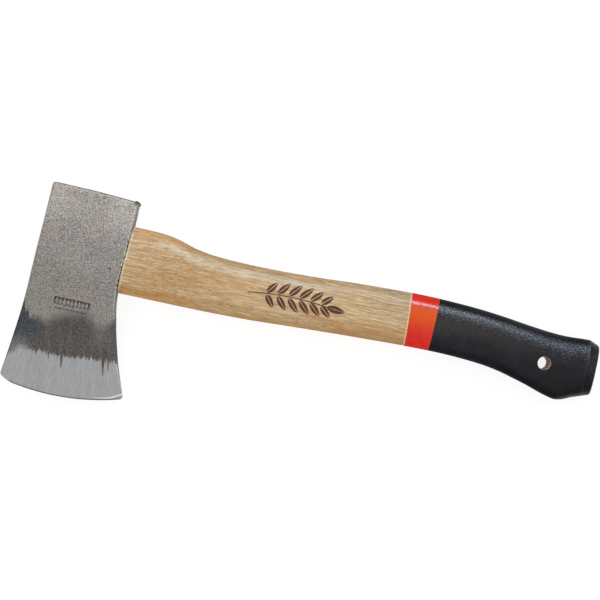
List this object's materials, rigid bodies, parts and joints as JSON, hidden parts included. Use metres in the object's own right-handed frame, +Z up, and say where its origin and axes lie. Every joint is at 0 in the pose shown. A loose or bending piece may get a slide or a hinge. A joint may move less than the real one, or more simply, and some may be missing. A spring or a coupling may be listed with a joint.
{
  "type": "hatchet",
  "caption": "Hatchet with a forged steel head wedged on a curved wooden handle, with a painted band and a lacquered grip pierced by a hanging hole.",
  "frame": {"origin": "on the lower cheek of the head, straight below the centre of the eye", "axes": "+X along the handle from the head to the butt, +Y from the cutting edge to the poll, +Z up through the cheeks; the hatchet lies on its side"},
  "size_m": [0.3667, 0.1315, 0.025],
  "materials": {
    "forged_steel": "shot-blasted forged skin, darkened above the ground and bright cutting edge",
    "handle_wood": "fine-sanded, lightly waxed ash with open pores",
    "wedge_wood": "sawn end of a hardwood wedge",
    "ring_steel": "bright turned steel",
    "band_lacquer": "glossy orange-red signal lacquer",
    "grip_lacquer": "semi-gloss black dipping lacquer with a fine pebbled skin"
  },
  "bodies": {
    "root": {"head": "forged_steel", "handle": "handle_wood", "wooden_wedge": "wedge_wood", "ring_wedge": "ring_steel", "signal_band": "band_lacquer", "grip_coating": "grip_lacquer"}
  },
  "joints": []
}
